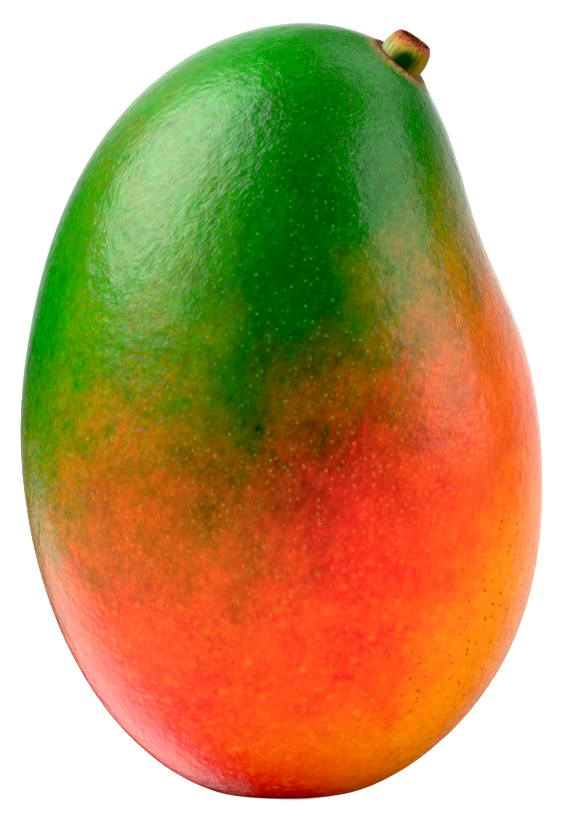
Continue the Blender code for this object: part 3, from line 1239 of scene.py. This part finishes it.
def floor_finish():
    box = PaintBox(bpy.data.materials.new("floor_white"))
    away = box.length(box.vector("SUBTRACT", box.place_mm(), CONTACT))
    seen = box.node("ShaderNodeLightPath", output="Is Camera Ray")
    glow = box.ramp(away, *GLOW_STARTS) * seen + box.ramp(away, *BOUNCE_STARTS)
    return box.finish(Base_Color=FLOOR_WHITE, Roughness=FLOOR_ROUGHNESS,
                      Emission_Color=box.join(glow, glow, glow), Emission_Strength=1.0)


floor_bm = bmesh.new()
bmesh.ops.create_grid(floor_bm, x_segments=1, y_segments=1, size=FLOOR_HALF)
floor = new_piece("floor", floor_bm)
floor.data.materials.append(floor_finish())
floor.visible_glossy = False
print("the floor is", 2 * FLOOR_HALF, "m across")

# %% [markdown]
# ## The lamps
#
# A glossy fruit is lit by what it mirrors. A picture of a studio all round would light it well,
# but lamps can be moved one at a time, until each highlight lies right. A large round softbox
# stands high on the left, with a brighter core and a spill below it, and gives the broad highlight
# on that shoulder. An upright strip on the right gives the narrow one. Two wide fills brighten the
# front and the right but are kept out of the gloss.
#
# An area lamp's brightness to the eye, its radiance, is its power divided by pi and by its area.
# So the table says how bright a lamp is, and the power follows from its size.

# %% Softboxes
LAMP_DISTANCE = 0.7
SOFTBOXES = (  # name, azimuth, elevation, width, height, brightness, shape, shown in the gloss
    ("octabox", -78.0, 49.0, 0.80, 0.76, 3.6, "ELLIPSE", True),
    ("octabox_core", -79.0, 50.0, 0.40, 0.40, 2.3, "ELLIPSE", True),
    ("octabox_spill", -54.0, 24.0, 0.56, 0.42, 1.8, "ELLIPSE", True),
    ("strip_right", 70.0, 31.0, 0.54, 0.68, 1.8, "RECTANGLE", True),
    ("front_fill", 0.0, 4.0, 0.80, 0.80, 1.2, "ELLIPSE", False),
    ("right_fill", 75.0, 0.0, 0.80, 0.80, 1.9, "ELLIPSE", False),
)


def towards(azimuth, elevation):
    """The direction at an azimuth, from the camera's side towards +X, and an elevation."""
    a, e = math.radians(azimuth), math.radians(elevation)
    return Vector((math.sin(a) * math.cos(e), -math.cos(a) * math.cos(e), math.sin(e)))


def softbox(name, azimuth, elevation, width, height, brightness, shape, glossy):
    """Hangs a flat lamp LAMP_DISTANCE away, aimed at the fruit, and gives its power."""
    lamp = bpy.data.lights.new(name, "AREA")
    lamp.shape, lamp.size, lamp.size_y = shape, width, height
    area = width * height * (math.pi / 4 if shape == "ELLIPSE" else 1.0)
    lamp.energy = brightness * math.pi * area
    stand = bpy.data.objects.new(name, lamp)
    way = towards(azimuth, elevation)
    stand.location = Vector(MIDDLE) + way * LAMP_DISTANCE
    stand.rotation_euler = way.to_track_quat("Z", "Y").to_euler()
    stand.visible_camera, stand.visible_glossy = False, glossy
    bpy.context.scene.collection.objects.link(stand)
    return lamp.energy


powers = [softbox(*row) for row in SOFTBOXES]
print("power of the lamps together:", round(sum(powers), 1), "W")

# %% [markdown]
# ## The tent
#
# Round the lamps hangs a tent of white cloth. The camera sees it as the white background. The
# fruit sees it mostly dark, with soft bright patches where light from the lamps falls on the
# cloth: they draw the pale rims along its lower left and its back. More lamps could do this, but
# lamps also brighten the colours, and weak patches show mostly in the gloss near the outline. A
# patch is the angle between a direction and the patch's own, sent through a ramp.

# %% Tent
TENT_PATCHES = (  # azimuth, elevation, half-width in degrees, brightness
    (-136.0, -33.0, 33.0, 1.95),
    (-88.0, -38.0, 42.0, 0.55),
    (-160.0, 35.0, 25.0, 0.6),
    (180.0, 8.0, 26.0, 1.2),
    (148.0, 0.0, 32.0, 0.8),
    (133.0, 56.0, 24.0, 1.1),
)
TENT_SEEN = 1.05  # how bright the camera sees it

world = bpy.data.worlds.new("tent")
bpy.context.scene.world = world
tent = PaintBox(world)
way = tent.node("ShaderNodeTexCoord", output="Generated")
tent_glow = 0.0
for azimuth, elevation, half_width, brightness in TENT_PATCHES:
    facing = tent.dot(way, towards(azimuth, elevation))
    edge = math.cos(math.radians(half_width))
    tent_glow = tent.ramp(facing, edge, 1.0, 0.0, brightness) + tent_glow
seen = tent.node("ShaderNodeLightPath", output="Is Camera Ray")
background = tent.tree.nodes["Background"]
tent.plug(background.inputs["Color"], (1.0, 1.0, 1.0))
tent.plug(background.inputs["Strength"], tent_glow * (1 - seen) + seen * TENT_SEEN)
print("patches of light on the tent:", len(TENT_PATCHES))

# %% [markdown]
# ## The view curve
#
# The Standard view shows colours as they are, where a filmic one would grey the strong reds and
# greens of the peel. A very small black level takes away the last veil over the deepest colours.

# %% View
BLACK_LEVEL = 0.012
view = bpy.context.scene.view_settings
view.view_transform = "Standard"
view.use_curve_mapping = True
view.curve_mapping.black_level = (BLACK_LEVEL, BLACK_LEVEL, BLACK_LEVEL)
view.curve_mapping.update()
print("view:", view.view_transform, "with a black level of", BLACK_LEVEL)

# %% [markdown]
# ## The camera
#
# Fruit is portrayed with a long lens from almost level, so that its outline isn't swollen by being
# near. The real width of such a picture is easier to think in than a distance, so the height of
# the view is given. The distance follows from how high the view has to be: half the height over
# half the sensor is the same ratio as the distance over the lens.

# %% Camera
CAMERA_LENS, SENSOR = 135.0, 36.0
CAMERA_ELEVATION = math.radians(2.0)
CAMERA_AIM = Vector((0.0, 0.0, 0.0628))
VIEW_HEIGHT = 0.13435
camera_data = bpy.data.cameras.new("camera")
camera_data.lens, camera_data.sensor_width = CAMERA_LENS, SENSOR
camera = bpy.data.objects.new("camera", camera_data)
distance = (VIEW_HEIGHT / 2) / (SENSOR / 2 / CAMERA_LENS)
back = Vector((0.0, -math.cos(CAMERA_ELEVATION), math.sin(CAMERA_ELEVATION)))
camera.location = CAMERA_AIM + back * distance
camera.rotation_euler = back.to_track_quat("Z", "Y").to_euler()
bpy.context.scene.collection.objects.link(camera)
bpy.context.scene.camera = camera
print("camera distance in metres:", round(distance, 3))

# %% [markdown]
# ## Sizes and the end
#
# The model must be as large as the solid that it stands for.
